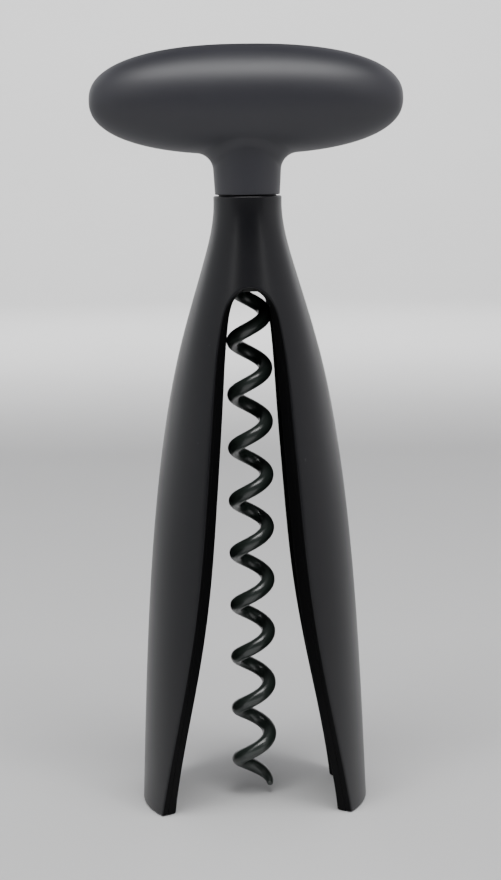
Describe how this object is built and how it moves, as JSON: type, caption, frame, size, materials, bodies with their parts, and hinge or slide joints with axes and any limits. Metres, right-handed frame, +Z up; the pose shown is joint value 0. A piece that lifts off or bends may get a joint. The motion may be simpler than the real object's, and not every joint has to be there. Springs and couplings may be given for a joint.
{
  "type": "self-pulling corkscrew",
  "caption": "Corkscrew with an oval T-handle and long coated worm that turns in a two-legged bell frame, which stands on the bottle and lifts the cork.",
  "frame": {"origin": "on the worm's axis, in the plane of the two leg ends", "axes": "+Z up along the worm's axis, legs on -X and +X, handle along X, openings to -Y and +Y"},
  "size_m": [0.0628, 0.0356, 0.155],
  "materials": {
    "shell_plastic": "satin black moulded cover",
    "grip_plastic": "satin black moulded grip",
    "frame_plastic": "dark glass-filled plastic",
    "core_plastic": "rigid glass-filled plastic",
    "bearing_plastic": "low-friction bearing plastic",
    "washer_plastic": "slip washer plastic",
    "soft_rubber": "soft grip pad",
    "plain_steel": "turned, zinc-free steel",
    "worm_coating": "semi-gloss black non-stick coating on steel wire"
  },
  "bodies": {
    "frame": {"body_cover": "shell_plastic", "frame_left": "frame_plastic", "frame_right": "frame_plastic", "crown_dowels": "plain_steel", "guide_sleeve": "bearing_plastic", "leg_pad_left": "soft_rubber", "leg_pad_right": "soft_rubber"},
    "slip_washer": {"thrust_washer": "washer_plastic"},
    "screw_unit": {"handle_grip": "grip_plastic", "core_front": "core_plastic", "core_back": "core_plastic", "core_screws": "plain_steel", "worm_ferrule": "plain_steel", "worm_cross_pin": "plain_steel", "worm": "worm_coating"}
  },
  "joints": [
    {"name": "screw_lift", "type": "slide", "parent": "frame", "child": "slip_washer", "axis": [0, 0, 1], "range_m": [0, 0.11]},
    {"name": "screw_turn", "type": "hinge", "parent": "slip_washer", "child": "screw_unit", "pos_m": [0, 0, 0.125], "axis": [0, 0, 1], "continuous": true}
  ]
}
